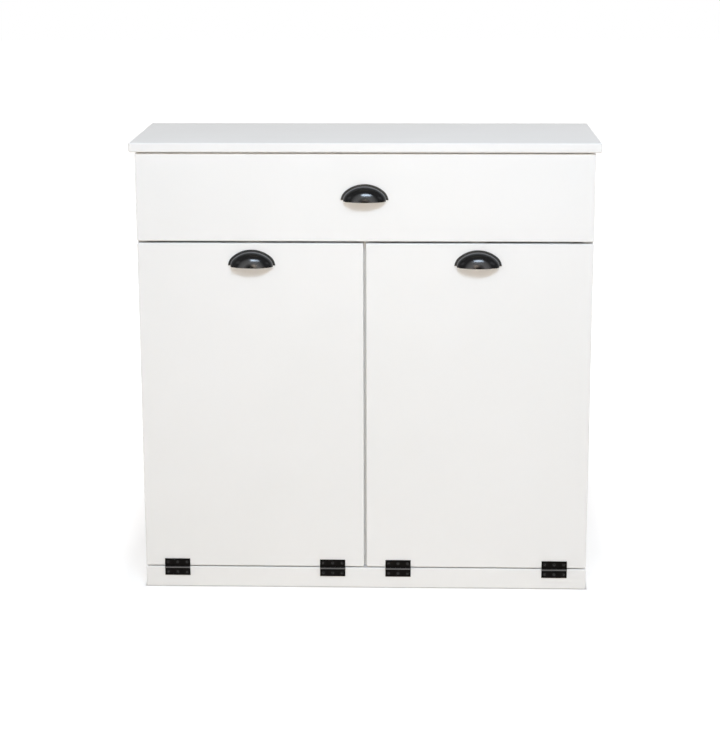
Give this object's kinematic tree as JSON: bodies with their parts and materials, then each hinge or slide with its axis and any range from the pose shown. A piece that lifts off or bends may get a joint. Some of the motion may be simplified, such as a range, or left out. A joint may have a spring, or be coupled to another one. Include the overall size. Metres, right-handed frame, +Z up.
{
  "type": "tilt-out trash bin cabinet",
  "caption": "Free-standing white cabinet: a full-width drawer over side-by-side tilt-out doors that carry waste bins, with black cup pulls and face-mounted butt hinges.",
  "frame": {"origin": "on the floor, under the middle of the whole cabinet with its pulls", "axes": "+X to the right seen from the front, +Y to the back, +Z up"},
  "size_m": [0.908, 0.3426, 0.9017],
  "materials": {
    "white_paint": "satin white paint",
    "black_pull": "semi-gloss black",
    "black_hinge": "satin black",
    "zinc_steel": "bright zinc",
    "birch_ply": "clear matt lacquer",
    "beech": "bare, sanded",
    "bin_plastic": "fine moulded grain",
    "catch_plastic": "smooth moulded",
    "soft_pad": "soft, clear"
  },
  "bodies": {
    "cabinet": {"top_panel": "white_paint", "left_side_panel": "white_paint", "right_side_panel": "white_paint", "centre_divider": "white_paint", "bottom_panel": "white_paint", "drawer_deck": "white_paint", "back_panel": "white_paint", "front_top_rail": "white_paint", "rear_top_rail": "white_paint", "front_bottom_rail": "white_paint", "top_fixing_screws": "zinc_steel", "bumper_pads": "soft_pad", "slide_case_members": "zinc_steel", "slide_case_screws": "zinc_steel", "rail_hinge_leaves": "black_hinge", "rail_hinge_screws": "black_hinge", "hinge_pins": "black_hinge", "tilt_stop_blocks": "beech", "catch_housings": "catch_plastic", "catch_poles": "zinc_steel", "catch_screws": "zinc_steel"},
    "slide_middles": {"slide_middle_members": "zinc_steel", "slide_ball_cages": "zinc_steel"},
    "drawer": {"drawer_front": "white_paint", "drawer_box_front": "birch_ply", "drawer_box_back": "birch_ply", "drawer_left_side": "birch_ply", "drawer_right_side": "birch_ply", "drawer_bottom": "birch_ply", "drawer_cup_pull": "black_pull", "drawer_pull_screws": "zinc_steel", "drawer_front_screws": "zinc_steel", "slide_drawer_members": "zinc_steel", "slide_drawer_screws": "zinc_steel"},
    "left_door": {"left_door_panel": "white_paint", "left_door_cup_pull": "black_pull", "left_door_pull_screws": "zinc_steel", "left_door_hinge_leaves": "black_hinge", "left_door_hinge_screws": "black_hinge", "left_strike_plate": "zinc_steel", "left_waste_bin": "bin_plastic", "left_cradle_outer_cheek": "birch_ply", "left_cradle_inner_cheek": "birch_ply", "left_cradle_shelf": "birch_ply", "left_cradle_back_slat": "birch_ply", "left_cradle_braces": "zinc_steel", "left_cradle_screws": "zinc_steel"},
    "right_door": {"right_door_panel": "white_paint", "right_door_cup_pull": "black_pull", "right_door_pull_screws": "zinc_steel", "right_door_hinge_leaves": "black_hinge", "right_door_hinge_screws": "black_hinge", "right_strike_plate": "zinc_steel", "right_waste_bin": "bin_plastic", "right_cradle_outer_cheek": "birch_ply", "right_cradle_inner_cheek": "birch_ply", "right_cradle_shelf": "birch_ply", "right_cradle_back_slat": "birch_ply", "right_cradle_braces": "zinc_steel", "right_cradle_screws": "zinc_steel"}
  },
  "joints": [
    {"name": "drawer_slide", "type": "slide", "parent": "cabinet", "child": "drawer", "axis": [0, -1, 0], "range_m": [0, 0.25]},
    {"name": "slide_middle_travel", "type": "slide", "parent": "cabinet", "child": "slide_middles", "axis": [0, -1, 0], "range_m": [0, 0.125]},
    {"name": "left_door_tilt", "type": "hinge", "parent": "cabinet", "child": "left_door", "pos_m": [-0.22265, -0.15184, 0.0411], "axis": [1, 0, 0], "range_deg": [0, 30]},
    {"name": "right_door_tilt", "type": "hinge", "parent": "cabinet", "child": "right_door", "pos_m": [0.22265, -0.15184, 0.0411], "axis": [1, 0, 0], "range_deg": [0, 30]}
  ],
  "couplings": [
    {"joint": "slide_middle_travel", "follows": "drawer_slide", "ratio": 0.5}
  ]
}
